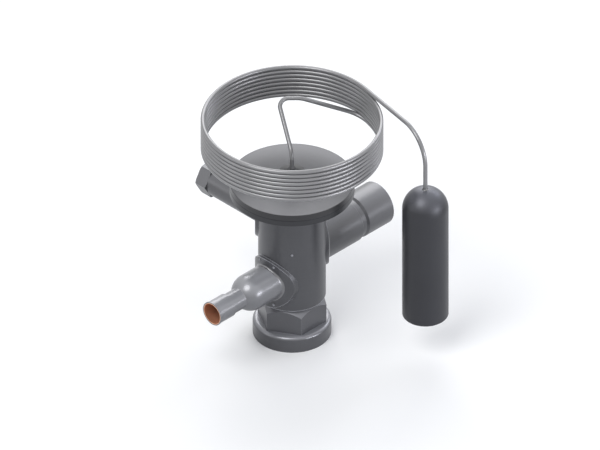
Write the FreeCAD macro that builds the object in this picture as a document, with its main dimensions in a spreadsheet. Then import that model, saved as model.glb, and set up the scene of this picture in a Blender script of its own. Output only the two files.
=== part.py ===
"""Expansion valve for a refrigeration circuit, with its remote bulb and wound capillary.

Millimetres, +Z up. The origin is the centre of the flat underside of the seal cap, on the
axis of the valve body. The inlet points along -X, the outlet along +X and the pressure
equalising port along +Y.
"""
import FreeCAD, Part
import Sketcher
import math
import os
import re

from FreeCAD import Placement, Rotation, Vector

SIZES = {
    "cap_radius": 21.5,
    "cap_height": 9.5,
    "cap_fillet": 2.2,
    "cap_floor": 2.5,
    "gasket_width": 2.3,
    "gasket_thickness": 1.2,
    "hex_height": 15.9,
    "hex_across_flats": 33.7,
    "hex_chamfer": 4.9,
    "boss_radius": 10.8,
    "boss_length": 5.5,
    "plug_thread_radius": 12.0,
    "plug_thread_length": 8.0,
    "thread_clearance": 0.05,
    "shaft_clearance": 0.05,
    "seat_clearance": 0.02,
    "spindle_radius": 3.0,
    "spindle_collar_radius": 6.0,
    "spindle_collar_height": 2.4,
    "spindle_collar_rise": 3.5,
    "spindle_thread_radius": 2.6,
    "spindle_thread_length": 13.6,
    "spindle_end_gap": 1.0,
    "slot_width": 1.2,
    "slot_depth": 1.6,
    "seal_width": 1.5,
    "seal_height": 1.5,
    "seal_drop": 4.0,
    "carrier_across_flats": 15.6,
    "carrier_clearance": 0.1,
    "carrier_height": 4.0,
    "carrier_rise": 10.5,
    "spring_guide_radius": 4.3,
    "carrier_guide_height": 1.4,
    "spring_wire_radius": 0.75,
    "spring_mean_radius": 5.4,
    "spring_turns": 4,
    "spring_runs_per_turn": 8,
    "body_radius": 18.5,
    "body_length": 67.9,
    "inlet_rise": 16.2,
    "outlet_rise": 26.8,
    "equalizer_drop": 22.3,
    "lower_chamber_radius": 8.5,
    "lower_chamber_length": 18.6,
    "web_thickness": 4.0,
    "guide_drop": 33.3,
    "guide_bore_radius": 9.2,
    "inlet_passage_radius": 4.6,
    "outlet_passage_radius": 5.4,
    "equalizer_passage_radius": 3.0,
    "pad_radius": 15.3,
    "pad_thickness": 1.7,
    "nib_radius": 0.55,
    "nib_height": 0.5,
    "nib_half_width": 5.35,
    "nib_half_height": 12.4,
    "body_nib_rise": 37.5,
    "seat_flange_radius": 6.4,
    "seat_flange_thickness": 1.0,
    "seat_thread_radius": 5.0,
    "seat_thread_length": 4.6,
    "port_radius": 2.0,
    "port_relief_radius": 3.2,
    "port_length": 3.0,
    "cone_radius": 2.8,
    "cone_tip_radius": 1.3,
    "cone_height": 2.6,
    "cone_seat_gap": 0.05,
    "cone_stem_length": 2.0,
    "cone_flange_radius": 6.6,
    "cone_flange_thickness": 1.6,
    "cone_guide_height": 2.6,
    "rod_radius": 1.2,
    "guide_height": 6.0,
    "guide_floor": 2.5,
    "packing_radius": 3.0,
    "packing_height": 2.1,
    "gland_radius": 4.0,
    "gland_flange_radius": 4.8,
    "gland_flange_height": 2.5,
    "head_radius": 34.2,
    "head_base_thickness": 3.2,
    "head_cover_thickness": 3.6,
    "head_base_wall": 1.0,
    "head_cover_wall": 1.6,
    "head_rim_width": 4.2,
    "diaphragm_thickness": 0.2,
    "diaphragm_flat_radius": 14.0,
    "diaphragm_margin": 1.0,
    "diaphragm_wave_height": 0.5,
    "diaphragm_waves": 3,
    "neck_radius": 11.0,
    "neck_bore_radius": 5.5,
    "neck_length": 8.5,
    "neck_end_gap": 0.3,
    "head_gasket_width": 2.6,
    "head_gasket_thickness": 0.8,
    "thrust_radius": 13.0,
    "thrust_thickness": 1.0,
    "thrust_gap": 0.1,
    "thrust_hub_radius": 4.0,
    "thrust_hub_height": 1.8,
    "rod_socket_depth": 1.3,
    "hub_radius": 7.6,
    "hub_height": 5.1,
    "hub_cone_height": 1.9,
    "hub_collar_radius": 2.15,
    "hub_collar_height": 0.7,
    "hub_spigot_radius": 4.0,
    "hub_bore_depth": 6.0,
    "capillary_radius": 1.2,
    "capillary_bore_radius": 0.6,
    "braze_gap": 0.03,
    "coil_radius": 48.7,
    "coil_pitch": 2.58,
    "coil_turns": 7.989,
    "coil_runs_per_turn": 16,
    "coil_start_angle": -14.0,
    "coil_start_rise": 20.4,
    "riser_rise": 17.3,
    "riser_bend_radius": 8.0,
    "crest_x": 12.8,
    "crest_y": 23.9,
    "crest_rise": 36.0,
    "crest_bend_radius": 4.8,
    "shoulder_x": 22.0,
    "shoulder_y": 15.1,
    "shoulder_bend_radius": 12.0,
    "entry_run": 9.0,
    "entry_bend_radius": 11.0,
    "tail_run": 57.2,
    "tail_bend_radius": 19.0,
    "bulb_radius": 12.7,
    "bulb_wall": 1.0,
    "bulb_bottom_rise": 24.2,
    "bulb_length": 83.3,
    "bulb_edge_radius": 1.0,
    "bulb_insert": 4.0,
    "inlet_base_radius": 10.35,
    "inlet_base_length": 13.7,
    "inlet_seat_depth": 2.0,
    "inlet_dome_radius": 10.7,
    "inlet_neck_radius": 6.0,
    "inlet_dome_length": 8.6,
    "inlet_neck_length": 8.8,
    "inlet_socket_radius": 6.7,
    "inlet_socket_length": 12.0,
    "inlet_tube_radius": 6.05,
    "inlet_socket_depth": 10.0,
    "inlet_lip_length": 1.0,
    "inlet_lip_height": 0.3,
    "inlet_cavity_radius": 8.6,
    "inlet_bore_radius": 4.8,
    "liner_thickness": 0.3,
    "outlet_base_radius": 12.8,
    "outlet_seat_depth": 3.7,
    "outlet_base_length": 24.3,
    "outlet_neck_length": 4.9,
    "outlet_neck_radius": 11.7,
    "outlet_flare_length": 1.5,
    "outlet_socket_radius": 12.5,
    "outlet_socket_length": 18.4,
    "outlet_tube_radius": 11.05,
    "outlet_socket_depth": 17.0,
    "outlet_bore_radius": 9.6,
    "edge_break": 0.4,
    "strainer_rim_radius": 8.5,
    "strainer_rim_width": 1.4,
    "strainer_tip_radius": 3.6,
    "strainer_wall": 0.4,
    "strainer_length": 13.0,
    "strainer_gap": 0.1,
    "stem_radius": 8.7,
    "stem_seat_depth": 1.5,
    "stem_length": 38.5,
    "stem_bore_radius": 2.4,
    "stem_thread_radius": 6.6,
    "stem_thread_length": 4.6,
    "flare_tip_radius": 3.6,
    "flare_height": 1.8,
    "nut_across_flats": 17.5,
    "nut_length": 7.9,
    "nut_chamfer": 0.9,
    "nut_bore_radius": 3.3,
    "bonnet_thickness": 0.3,
}

doc = FreeCAD.newDocument("expansion_valve")
sheet = doc.addObject("Spreadsheet::Sheet", "sizes")
for row, (alias, size) in enumerate(SIZES.items(), start=1):
    sheet.set("A%d" % row, alias)
    sheet.set("B%d" % row, str(size))
    sheet.setAlias("B%d" % row, alias)
doc.recompute()

# Levels on the vertical axis, from the base plane up.
HEX_TOP = "(cap_height + hex_height)"
BOSS_END = "(cap_height - boss_length)"
COLLAR_SEAT = "(cap_height + spindle_collar_rise)"
COLLAR_TOP = f"({COLLAR_SEAT} + spindle_collar_height)"
CARRIER_LEVEL = "(cap_height + carrier_rise)"
CARRIER_TOP = f"({CARRIER_LEVEL} + carrier_height)"
INLET_LEVEL = f"({HEX_TOP} + inlet_rise)"
OUTLET_LEVEL = f"({HEX_TOP} + outlet_rise)"
WEB_BOTTOM = f"({HEX_TOP} + lower_chamber_length)"
WEB_TOP = f"({WEB_BOTTOM} + web_thickness)"
SEAT_LEVEL = f"({WEB_BOTTOM} - seat_flange_thickness)"
BODY_TOP = f"({HEX_TOP} + body_length)"
EQUALIZER_LEVEL = f"({BODY_TOP} - equalizer_drop)"
GUIDE_LEVEL = f"({BODY_TOP} - guide_drop)"
CAVITY_FLOOR = f"({BODY_TOP} + head_base_wall)"
DIAPHRAGM_LEVEL = f"({BODY_TOP} + head_base_thickness)"
COVER_LEVEL = f"({DIAPHRAGM_LEVEL} + diaphragm_thickness)"
HEAD_TOP = f"({COVER_LEVEL} + head_cover_thickness)"
HUB_TOP = f"({HEAD_TOP} + hub_height)"
CONE_BASE = (
    f"({SEAT_LEVEL} - cone_seat_gap"
    " - cone_height * (cone_radius - port_radius) / (cone_radius - cone_tip_radius))"
)
CONE_TIP = f"({CONE_BASE} + cone_height)"
FLANGE_TOP = f"({CONE_BASE} - cone_stem_length)"
FLANGE_BOTTOM = f"({FLANGE_TOP} - cone_flange_thickness)"
THRUST_TOP = f"({DIAPHRAGM_LEVEL} - thrust_gap)"
THRUST_BOTTOM = f"({THRUST_TOP} - thrust_thickness)"
HUB_UNDERSIDE = f"({THRUST_BOTTOM} - thrust_hub_height)"
CAP_BORE = "(boss_radius + thread_clearance)"
HEAD_CAVITY = "(head_radius - head_rim_width)"

# Distances from the valve's axis, along the ports.
INLET_SEAT = "(body_radius - inlet_seat_depth)"
INLET_BASE_END = "(body_radius + inlet_base_length)"
INLET_NECK_START = f"({INLET_BASE_END} + inlet_dome_length)"
INLET_NECK_END = f"({INLET_NECK_START} + inlet_neck_length)"
INLET_END = f"({INLET_NECK_END} + inlet_socket_length)"
OUTLET_SEAT = "(body_radius - outlet_seat_depth)"
OUTLET_NECK_START = "(body_radius + outlet_base_length)"
OUTLET_NECK_END = f"({OUTLET_NECK_START} + outlet_neck_length)"
OUTLET_END = f"({OUTLET_NECK_END} + outlet_socket_length)"
STEM_SEAT = "(body_radius - stem_seat_depth)"
STEM_END = "(body_radius + stem_length)"
STEM_THREAD_END = f"({STEM_END} + stem_thread_length)"

# Directions of the turned pieces' own axes.
UPWARD = Rotation()
TO_INLET = Rotation(Vector(0, 1, 0), -90)
TO_OUTLET = Rotation(Vector(0, 1, 0), 90)
TO_EQUALIZER = Rotation(Vector(1, 0, 0), -90)

SUB_PARTS = []


def bound(expression):
    """Return the expression with each size written as a cell of the sheet."""
    return re.sub(
        r"[a-z][a-z_]*",
        lambda word: "sizes." + word.group() if word.group() in SIZES else word.group(),
        str(expression),
    )


def number(expression):
    """Return the value of an expression of sizes."""
    return float(sheet.evalExpression(bound(expression)))


def place(thing, base=("0", "0", "0"), turn=UPWARD):
    """Turn an object and bind its position to the sheet."""
    thing.Placement = Placement(Vector(*(number(value) for value in base)), turn)
    for axis, value in zip("xyz", base):
        if value != "0":
            thing.setExpression("Placement.Base." + axis, bound(value))
    return thing


def sub_part(thing, label):
    """Name a finished sub-part and put it on the list of what is written."""
    thing.Label = label
    SUB_PARTS.append(thing)
    return thing


def cylinder(name, radius, height, base=("0", "0", "0"), turn=UPWARD):
    """Return a cylinder that stands on base, along the turned Z axis."""
    solid = doc.addObject("Part::Cylinder", name)
    solid.setExpression("Radius", bound(radius))
    solid.setExpression("Height", bound(height))
    return place(solid, base, turn)


def hexagon(name, across_flats, height, base=("0", "0", "0"), turn=UPWARD):
    """Return a hexagonal bar with two corners on its own X axis."""
    bar = doc.addObject("Part::Prism", name)
    bar.Polygon = 6
    bar.setExpression("Circumradius", bound(f"{across_flats} / sqrt(3)"))
    bar.setExpression("Height", bound(height))
    return place(bar, base, turn)


def joined(name, pieces):
    """Return the union of the pieces."""
    union = doc.addObject("Part::MultiFuse", name)
    union.Shapes = pieces
    return union


def shared(name, pieces):
    """Return what the pieces have in common."""
    overlap = doc.addObject("Part::MultiCommon", name)
    overlap.Shapes = pieces
    return overlap


def cut(name, base, tool):
    """Return base with tool taken away."""
    remainder = doc.addObject("Part::Cut", name)
    remainder.Base = base
    remainder.Tool = tool
    return remainder


def arc_between(start, end, radius, side):
    """Return the short arc of a radius from start to end, its centre on the given side."""
    chord = end - start
    half = chord.Length / 2
    rise = math.sqrt(max(radius * radius - half * half, 0.0))
    across = Vector(-chord.y, chord.x, 0).normalize()
    centre = (start + end) * 0.5 + across * (rise * side)
    outward = (start + end) * 0.5 - centre
    if outward.Length < 1e-9:
        outward = across * -side
    middle = centre + outward.normalize() * radius
    return Part.Arc(start, middle, end)


def turned(name, outline, base=("0", "0", "0"), turn=UPWARD):
    """Return a body turned about its own Z axis from a closed outline.

    Each corner of the outline is (radius, height), or (radius, height, arc radius, side) where
    the edge that leaves the corner is an arc: side 1 has its centre to the left of the travel.
    """
    body = doc.addObject("PartDesign::Body", name)
    sketch = body.newObject("Sketcher::SketchObject", name + "_outline")
    side_plane = next(item for item in body.Origin.OriginFeatures if item.Role == "XZ_Plane")
    sketch.AttachmentSupport = [(side_plane, "")]
    sketch.MapMode = "FlatFace"
    points = [Vector(number(corner[0]), number(corner[1]), 0) for corner in outline]
    count = len(outline)
    for index, corner in enumerate(outline):
        start = points[index]
        end = points[(index + 1) % count]
        if len(corner) > 2:
            sketch.addGeometry(arc_between(start, end, number(corner[2]), corner[3]))
        else:
            sketch.addGeometry(Part.LineSegment(start, end))
    for index, corner in enumerate(outline):
        before = (index - 1) % count
        first = start_point(outline[index])
        last = 3 - start_point(outline[before])
        sketch.addConstraint(Sketcher.Constraint("Coincident", before, last, index, first))
        pin(sketch, index, first, corner)
        if len(corner) > 2:
            radius = sketch.addConstraint(Sketcher.Constraint("Radius", index, number(corner[2])))
            sketch.setExpression("Constraints[%d]" % radius, bound(corner[2]))
    revolution = body.newObject("PartDesign::Revolution", name + "_turning")
    revolution.Profile = sketch
    revolution.ReferenceAxis = (sketch, ["V_Axis"])
    revolution.Angle = 360
    return place(body, base, turn)


def start_point(corner):
    """Return which end of an edge is its start: an arc whose centre is to the right runs back."""
    return 2 if len(corner) > 2 and corner[3] < 0 else 1


def pin(sketch, edge, end, corner):
    """Hold one corner of an outline at its radius and height."""
    for kind, axis, value in (("DistanceX", -2, corner[0]), ("DistanceY", -1, corner[1])):
        if value == "0":
            sketch.addConstraint(Sketcher.Constraint("PointOnObject", edge, end, axis))
        else:
            held = sketch.addConstraint(Sketcher.Constraint(kind, -1, 1, edge, end, number(value)))
            sketch.setExpression("Constraints[%d]" % held, bound(value))


def seal_cap():
    """Round cap over the setting spindle, with a recess in its mouth for the sealing ring."""
    recess = f"({CAP_BORE} + gasket_width + seat_clearance)"
    ledge = "(cap_height - gasket_thickness)"
    return turned("seal_cap", [
        ("0", "0"),
        ("cap_radius", "0"),
        ("cap_radius", "cap_height - cap_fillet", "cap_fillet", 1),
        ("cap_radius - cap_fillet", "cap_height"),
        (recess, "cap_height"),
        (recess, ledge),
        (CAP_BORE, ledge),
        (CAP_BORE, "cap_floor"),
        ("0", "cap_floor"),
    ])


def ring(name, inner, outer, bottom, height):
    """Return a flat ring about the valve's axis."""
    return turned(name, [
        (inner, bottom),
        (outer, bottom),
        (outer, f"{bottom} + {height}"),
        (inner, f"{bottom} + {height}"),
    ])


def cap_gasket():
    """Flat sealing ring pressed into the cap's mouth."""
    inner = f"({CAP_BORE} + seat_clearance)"
    return ring("cap_gasket", inner, f"({CAP_BORE} + gasket_width)",
                "(cap_height - gasket_thickness)", "gasket_thickness")


def bottom_plug():
    """Hexagonal plug that closes the body and carries the spindle, the carrier and the cap."""
    corner = "(hex_across_flats / sqrt(3))"
    shaft = "(spindle_radius + shaft_clearance)"
    groove = "(spindle_radius + shaft_clearance + seal_width + seat_clearance)"
    groove_top = f"({COLLAR_SEAT} - seal_drop + seal_height + seat_clearance)"
    groove_bottom = f"({COLLAR_SEAT} - seal_drop - seat_clearance)"
    pocket = "(spindle_collar_radius + shaft_clearance)"
    shank_top = f"({HEX_TOP} + plug_thread_length)"
    blank = turned("plug_blank", [
        (shaft, BOSS_END),
        ("boss_radius", BOSS_END),
        ("boss_radius", "cap_height"),
        (corner, "cap_height"),
        (corner, f"{HEX_TOP} - hex_chamfer"),
        (f"{corner} - hex_chamfer", HEX_TOP),
        ("plug_thread_radius", HEX_TOP),
        ("plug_thread_radius", shank_top),
        (pocket, shank_top),
        (pocket, COLLAR_SEAT),
        (shaft, COLLAR_SEAT),
        (shaft, groove_top),
        (groove, groove_top),
        (groove, groove_bottom),
        (shaft, groove_bottom),
    ])
    bar = hexagon("plug_bar", "hex_across_flats", f"{shank_top} - {BOSS_END}",
                  ("0", "0", BOSS_END))
    runner = hexagon("plug_runner", "(carrier_across_flats + 2 * carrier_clearance)",
                     f"{shank_top} - {COLLAR_TOP}", ("0", "0", COLLAR_TOP))
    return cut("bottom_plug", shared("plug_body", [blank, bar]), runner)


def setting_spindle():
    """Slotted spindle with a collar; its thread moves the spring carrier."""
    start = "(cap_floor + spindle_end_gap)"
    thread_end = f"({COLLAR_TOP} + spindle_thread_length)"
    shaft = turned("spindle_shaft", [
        ("0", start),
        ("spindle_radius", start),
        ("spindle_radius", COLLAR_SEAT),
        ("spindle_collar_radius", COLLAR_SEAT),
        ("spindle_collar_radius", COLLAR_TOP),
        ("spindle_thread_radius", COLLAR_TOP),
        ("spindle_thread_radius", thread_end),
        ("0", thread_end),
    ])
    slot = doc.addObject("Part::Box", "spindle_slot")
    slot.setExpression("Length", bound("2 * spindle_radius"))
    slot.setExpression("Width", bound("slot_width"))
    slot.setExpression("Height", bound("slot_depth"))
    place(slot, ("-spindle_radius", "-slot_width / 2", start))
    return cut("setting_spindle", shaft, slot)


def spindle_seal():
    """Sealing ring in the plug's groove, about the spindle."""
    inner = "(spindle_radius + shaft_clearance)"
    return ring("spindle_seal", inner, f"({inner} + seal_width)",
                f"({COLLAR_SEAT} - seal_drop)", "seal_height")


def spring_carrier():
    """Hexagonal nut that climbs the spindle inside the plug and loads the spring."""
    bore = "(spindle_thread_radius + shaft_clearance)"
    corner = "(carrier_across_flats / sqrt(3))"
    guide_top = f"({CARRIER_TOP} + carrier_guide_height)"
    blank = turned("carrier_blank", [
        (bore, CARRIER_LEVEL),
        (corner, CARRIER_LEVEL),
        (corner, CARRIER_TOP),
        ("spring_guide_radius", CARRIER_TOP),
        ("spring_guide_radius", guide_top),
        (bore, guide_top),
    ])
    bar = hexagon("carrier_bar", "carrier_across_flats", f"{guide_top} - {CARRIER_LEVEL}",
                  ("0", "0", CARRIER_LEVEL))
    return shared("spring_carrier", [blank, bar])


def valve_cone():
    """Cone that closes the port from below, on a flange that takes the spring's load."""
    guide_end = f"({FLANGE_BOTTOM} - cone_guide_height)"
    return turned("valve_cone", [
        ("0", guide_end),
        ("spring_guide_radius", guide_end),
        ("spring_guide_radius", FLANGE_BOTTOM),
        ("cone_flange_radius", FLANGE_BOTTOM),
        ("cone_flange_radius", FLANGE_TOP),
        ("cone_radius", FLANGE_TOP),
        ("cone_radius", CONE_BASE),
        ("cone_tip_radius", CONE_TIP),
        ("0", CONE_TIP),
    ])


def orifice_seat():
    """Screwed-in seat with the metering port."""
    thread = "(seat_thread_radius - thread_clearance)"
    top = f"({WEB_BOTTOM} + seat_thread_length)"
    return turned("orifice_seat", [
        ("port_radius", SEAT_LEVEL),
        ("seat_flange_radius", SEAT_LEVEL),
        ("seat_flange_radius", WEB_BOTTOM),
        (thread, WEB_BOTTOM),
        (thread, top),
        ("port_relief_radius", top),
        ("port_relief_radius", f"{SEAT_LEVEL} + port_length"),
        ("port_radius", f"{SEAT_LEVEL} + port_length"),
    ])


def push_rod():
    """Rod that carries the diaphragm's movement down through the port to the cone."""
    return cylinder("push_rod", "rod_radius", f"{HUB_UNDERSIDE} + rod_socket_depth - {CONE_TIP}",
                    ("0", "0", CONE_TIP))


def rod_guide():
    """Bush between the outlet chamber and the equalising chamber."""
    outer = "(guide_bore_radius - thread_clearance)"
    bore = "(rod_radius + shaft_clearance)"
    top = f"({GUIDE_LEVEL} + guide_height)"
    packing_top = f"({GUIDE_LEVEL} + guide_floor + packing_height)"
    return turned("rod_guide", [
        (bore, GUIDE_LEVEL),
        (outer, GUIDE_LEVEL),
        (outer, top),
        ("gland_radius", top),
        ("gland_radius", packing_top),
        ("packing_radius", packing_top),
        ("packing_radius", f"{GUIDE_LEVEL} + guide_floor"),
        (bore, f"{GUIDE_LEVEL} + guide_floor"),
    ])


def rod_packing():
    """Packing ring about the push rod."""
    return ring("rod_packing", "(rod_radius + shaft_clearance)",
                "(packing_radius - seat_clearance)", f"({GUIDE_LEVEL} + guide_floor)",
                "packing_height")


def packing_gland():
    """Screwed gland that presses the packing."""
    bore = "(rod_radius + shaft_clearance)"
    seat = f"({GUIDE_LEVEL} + guide_floor + packing_height)"
    top = f"({GUIDE_LEVEL} + guide_height)"
    thread = "(gland_radius - thread_clearance)"
    blank = turned("gland_blank", [
        (bore, seat),
        (thread, seat),
        (thread, top),
        ("gland_flange_radius", top),
        ("gland_flange_radius", f"{top} + gland_flange_height"),
        (bore, f"{top} + gland_flange_height"),
    ])
    bar = hexagon("gland_bar", "gland_flange_radius * sqrt(3)",
                  f"{top} + gland_flange_height - {seat}", ("0", "0", seat))
    return shared("packing_gland", [blank, bar])


def along(turn, distance, level):
    """Return the place at a distance from the valve's axis, along a port's axis."""
    direction = turn.multVec(Vector(0, 0, 1))
    across = [
        f"{round(share)} * ({distance})" if abs(share) > 0.5 else "0"
        for share in (direction.x, direction.y)
    ]
    return across[0], across[1], level


def port_solid(name, radius, start, end, level, turn):
    """Return a round bar along a port's axis, between two distances from the valve's axis."""
    return cylinder(name, radius, f"({end}) - ({start})", along(turn, start, level), turn)


def saddle_pad(name, level, turn):
    """Return the thin round pad that follows the body round a port."""
    reach = "(body_radius + pad_thickness)"
    band = cylinder(name + "_band", reach, "2 * pad_radius", ("0", "0", f"{level} - pad_radius"))
    disc = port_solid(name + "_disc", "pad_radius", "0", f"{reach} + 1", level, turn)
    return shared(name, [band, disc])


def pad_nibs():
    """Return the four small nibs on the inlet's pad and the single one on the body's front."""
    nibs = []
    pad_reach = "sqrt((body_radius + pad_thickness)^2 - nib_half_width^2) + nib_height"
    for column in (-1, 1):
        for line in (-1, 1):
            nib = cylinder(
                f"nib_{len(nibs)}", "nib_radius", "2 * nib_height + pad_thickness",
                (f"-({pad_reach})", f"{column} * nib_half_width",
                 f"{INLET_LEVEL} + {line} * nib_half_height"), TO_OUTLET)
            nibs.append(nib)
    reach = "((body_radius + nib_height) / sqrt(2))"
    front = Rotation(Vector(0, 0, 1), Vector(1, 1, 0))
    nibs.append(cylinder("nib_front", "nib_radius", "2 * nib_height",
                         (f"-{reach}", f"-{reach}", f"{HEX_TOP} + body_nib_rise"), front))
    return nibs


def valve_body():
    """Body with its saddle pads, chambers, passages and the seats of its three ports."""
    outside = joined("body_outside", [
        cylinder("body_barrel", "body_radius", "body_length", ("0", "0", HEX_TOP)),
        saddle_pad("inlet_pad", INLET_LEVEL, TO_INLET),
        saddle_pad("outlet_pad", OUTLET_LEVEL, TO_OUTLET),
        saddle_pad("equalizer_pad", EQUALIZER_LEVEL, TO_EQUALIZER),
    ] + pad_nibs())
    outer = "(body_radius + pad_thickness + nib_height)"
    neck_top = f"({BODY_TOP} - neck_length - neck_end_gap)"
    gasket = "(neck_radius + head_gasket_width + seat_clearance)"
    hollow = turned("body_hollow", [
        ("0", HEX_TOP),
        ("plug_thread_radius + thread_clearance", HEX_TOP),
        ("plug_thread_radius + thread_clearance", f"{HEX_TOP} + plug_thread_length"),
        ("lower_chamber_radius", f"{HEX_TOP} + plug_thread_length"),
        ("lower_chamber_radius", WEB_BOTTOM),
        ("seat_thread_radius", WEB_BOTTOM),
        ("seat_thread_radius", WEB_TOP),
        ("lower_chamber_radius", WEB_TOP),
        ("lower_chamber_radius", GUIDE_LEVEL),
        ("guide_bore_radius", GUIDE_LEVEL),
        ("guide_bore_radius", neck_top),
        ("neck_radius", neck_top),
        ("neck_radius", f"{BODY_TOP} - head_gasket_thickness"),
        (gasket, f"{BODY_TOP} - head_gasket_thickness"),
        (gasket, BODY_TOP),
        ("0", BODY_TOP),
    ])
    ports = [
        port_solid("inlet_passage", "inlet_passage_radius", "lower_chamber_radius - 1",
                   outer, INLET_LEVEL, TO_INLET),
        port_solid("outlet_passage", "outlet_passage_radius", "lower_chamber_radius - 1",
                   outer, OUTLET_LEVEL, TO_OUTLET),
        port_solid("equalizer_passage", "equalizer_passage_radius", "guide_bore_radius - 1",
                   outer, EQUALIZER_LEVEL, TO_EQUALIZER),
        port_solid("inlet_recess", "inlet_base_radius + braze_gap", INLET_SEAT,
                   outer, INLET_LEVEL, TO_INLET),
        port_solid("outlet_recess", "outlet_base_radius + braze_gap", OUTLET_SEAT,
                   outer, OUTLET_LEVEL, TO_OUTLET),
        port_solid("equalizer_recess", "stem_radius + braze_gap", STEM_SEAT,
                   outer, EQUALIZER_LEVEL, TO_EQUALIZER),
    ]
    return cut("valve_body", outside, joined("body_voids", [hollow] + ports))


def inlet_connector():
    """Domed inlet connector with a tube socket; its cavity holds the strainer."""
    liner_seat = "(inlet_tube_radius + liner_thickness)"
    socket_floor = f"({INLET_END} - inlet_socket_depth)"
    lip = "(inlet_socket_radius + inlet_lip_height)"
    cavity_end = f"({INLET_SEAT} + strainer_length + 2 * strainer_gap)"
    return turned("inlet_connector", [
        ("inlet_cavity_radius", INLET_SEAT),
        ("inlet_base_radius", INLET_SEAT),
        ("inlet_base_radius", INLET_BASE_END, "inlet_dome_radius", 1),
        ("inlet_neck_radius", INLET_NECK_START),
        ("inlet_neck_radius", INLET_NECK_END),
        ("inlet_socket_radius", f"{INLET_NECK_END} + edge_break"),
        ("inlet_socket_radius", f"{INLET_END} - inlet_lip_length"),
        (lip, f"{INLET_END} - inlet_lip_length + inlet_lip_height"),
        (lip, INLET_END),
        (liner_seat, INLET_END),
        (liner_seat, socket_floor),
        ("inlet_bore_radius", socket_floor),
        ("inlet_bore_radius", cavity_end),
        ("inlet_cavity_radius", f"{cavity_end} - (inlet_cavity_radius - inlet_bore_radius)"),
    ], ("0", "0", INLET_LEVEL), TO_INLET)


def copper_liner(name, tube_radius, end, depth, level, turn):
    """Return the copper lining of a tube socket."""
    outer = f"({tube_radius} + liner_thickness - seat_clearance)"
    return turned(name, [
        (tube_radius, f"{end} - {depth}"),
        (outer, f"{end} - {depth}"),
        (outer, end),
        (tube_radius, end),
    ], ("0", "0", level), turn)


def outlet_connector():
    """Larger stepped outlet connector with a tube socket."""
    liner_seat = "(outlet_tube_radius + liner_thickness)"
    socket_floor = f"({OUTLET_END} - outlet_socket_depth)"
    return turned("outlet_connector", [
        ("outlet_bore_radius", OUTLET_SEAT),
        ("outlet_base_radius", OUTLET_SEAT),
        ("outlet_base_radius", f"{OUTLET_NECK_START} - edge_break"),
        ("outlet_base_radius - edge_break", OUTLET_NECK_START),
        ("outlet_neck_radius", OUTLET_NECK_START),
        ("outlet_neck_radius", f"{OUTLET_NECK_END} - outlet_flare_length"),
        ("outlet_socket_radius", OUTLET_NECK_END),
        ("outlet_socket_radius", OUTLET_END),
        (liner_seat, OUTLET_END),
        (liner_seat, socket_floor),
        ("outlet_bore_radius", socket_floor),
    ], ("0", "0", OUTLET_LEVEL), TO_OUTLET)


def inlet_strainer():
    """Tapered strainer basket held between the body and the inlet connector."""
    start = f"({INLET_SEAT} + strainer_gap)"
    rim_end = f"({start} + strainer_rim_width)"
    end = f"({start} + strainer_length - strainer_rim_radius + strainer_tip_radius)"
    return turned("inlet_strainer", [
        ("strainer_rim_radius - strainer_rim_width", start),
        ("strainer_rim_radius", start),
        ("strainer_rim_radius", rim_end),
        ("strainer_rim_radius - strainer_rim_width + strainer_wall", rim_end),
        ("strainer_tip_radius", end),
        ("0", end),
        ("0", f"{end} - strainer_wall"),
        ("strainer_tip_radius - strainer_wall", f"{end} - strainer_wall"),
        ("strainer_rim_radius - strainer_rim_width", rim_end),
    ], ("0", "0", INLET_LEVEL), TO_INLET)


def equalizer_stem():
    """Stem of the equalising port, ending in a screwed flare."""
    flare_end = f"({STEM_THREAD_END} + flare_height)"
    return turned("equalizer_stem", [
        ("stem_bore_radius", STEM_SEAT),
        ("stem_radius", STEM_SEAT),
        ("stem_radius", STEM_END),
        ("stem_thread_radius", STEM_END),
        ("stem_thread_radius", STEM_THREAD_END),
        ("flare_tip_radius", flare_end),
        ("stem_bore_radius", flare_end),
    ], ("0", "0", EQUALIZER_LEVEL), TO_EQUALIZER)


def equalizer_bonnet():
    """Thin copper seal between the flare and the nut."""
    seat = f"({STEM_THREAD_END} + seat_clearance)"
    flare_end = f"({seat} + flare_height)"
    return turned("equalizer_bonnet", [
        ("0", flare_end),
        ("flare_tip_radius", flare_end),
        ("stem_thread_radius", seat),
        ("stem_thread_radius", f"{seat} + bonnet_thickness"),
        ("flare_tip_radius", f"{flare_end} + bonnet_thickness"),
        ("0", f"{flare_end} + bonnet_thickness"),
    ], ("0", "0", EQUALIZER_LEVEL), TO_EQUALIZER)


def equalizer_nut():
    """Hexagonal flare nut, chamfered on both ends."""
    corner = "(nut_across_flats / sqrt(3))"
    end = f"({STEM_END} + nut_length)"
    thread = "(stem_thread_radius + thread_clearance)"
    seat = f"({STEM_THREAD_END} + bonnet_thickness + 2 * seat_clearance)"
    flare_end = f"({seat} + flare_height)"
    blank = turned("nut_blank", [
        (thread, STEM_END),
        (f"{corner} - nut_chamfer", STEM_END),
        (corner, f"{STEM_END} + nut_chamfer / 2"),
        (corner, f"{end} - nut_chamfer / 2"),
        (f"{corner} - nut_chamfer", end),
        ("nut_bore_radius", end),
        ("nut_bore_radius", flare_end),
        ("flare_tip_radius", flare_end),
        (thread, seat),
    ], ("0", "0", EQUALIZER_LEVEL), TO_EQUALIZER)
    bar = hexagon("nut_bar", "nut_across_flats", "nut_length",
                  ("0", STEM_END, EQUALIZER_LEVEL), TO_EQUALIZER)
    return shared("equalizer_nut", [blank, bar])


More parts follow.
